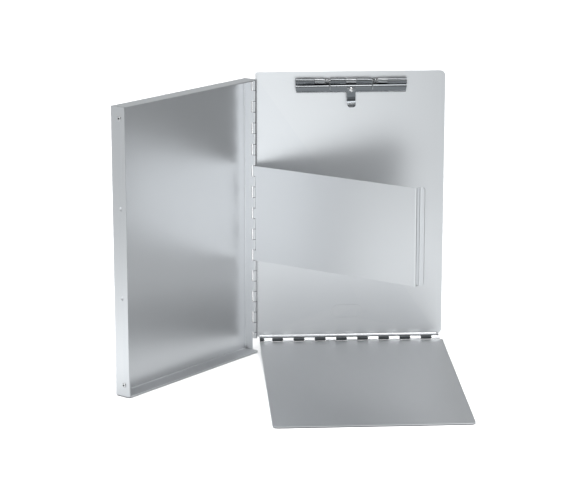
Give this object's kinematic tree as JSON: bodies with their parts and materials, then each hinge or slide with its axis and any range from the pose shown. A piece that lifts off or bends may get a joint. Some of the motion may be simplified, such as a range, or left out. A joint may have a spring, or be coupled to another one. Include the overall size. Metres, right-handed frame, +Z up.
{
  "type": "forms holder clipboard",
  "caption": "Aluminium forms holder standing open: writing plate with spring clip, hinged storage tray, retaining flap and bottom cover flap.",
  "frame": {"origin": "centre of the open holder's footprint, on the surface it stands on", "axes": "+Z up along the side hinge, +X along the writing plate to the right, +Y out of the back of the writing plate"},
  "size_m": [0.3874, 0.2998, 0.3345],
  "materials": {
    "aluminium_sheet": "satin rolled sheet",
    "nickel_plate": "bright nickel plate",
    "pin_steel": "drawn wire",
    "spring_steel": "bright spring wire",
    "rivet": "bright"
  },
  "bodies": {
    "plate": {"writing_plate": "aluminium_sheet", "side_hinge_pin": "pin_steel", "bottom_hinge_pin": "pin_steel", "clip_rivet_left": "rivet", "clip_rivet_right": "rivet", "clip_base": "nickel_plate", "clip_pin": "pin_steel"},
    "tray": {"storage_tray": "aluminium_sheet", "tray_rivet_bottom": "rivet", "tray_rivet_top": "rivet"},
    "retainer": {"retaining_flap": "aluminium_sheet"},
    "cover": {"cover_flap": "aluminium_sheet"},
    "jaw": {"clip_jaw": "nickel_plate", "clip_spring_left": "spring_steel", "clip_spring_right": "spring_steel", "clip_lift_tab": "nickel_plate", "clip_tab_rivet": "rivet"}
  },
  "joints": [
    {"name": "tray_hinge", "type": "hinge", "parent": "plate", "child": "tray", "pos_m": [-0.0303, 0.14204, 0.17], "axis": [0, 0, 1], "range_deg": [-63, 18]},
    {"name": "retainer_hinge", "type": "hinge", "parent": "plate", "child": "retainer", "pos_m": [-0.0303, 0.14204, 0.17], "axis": [0, 0, 1], "range_deg": [-60, 37]},
    {"name": "cover_hinge", "type": "hinge", "parent": "plate", "child": "cover", "pos_m": [0.0827, 0.13884, 0.0134], "axis": [-1, 0, 0], "range_deg": [-87.8, 35]},
    {"name": "clip_hinge", "type": "hinge", "parent": "plate", "child": "jaw", "pos_m": [0.0827, 0.14514, 0.3239], "axis": [-1, 0, 0], "range_deg": [0, 45], "stiffness_Nm_per_rad": 0.3, "springref_deg": -34.38}
  ]
}
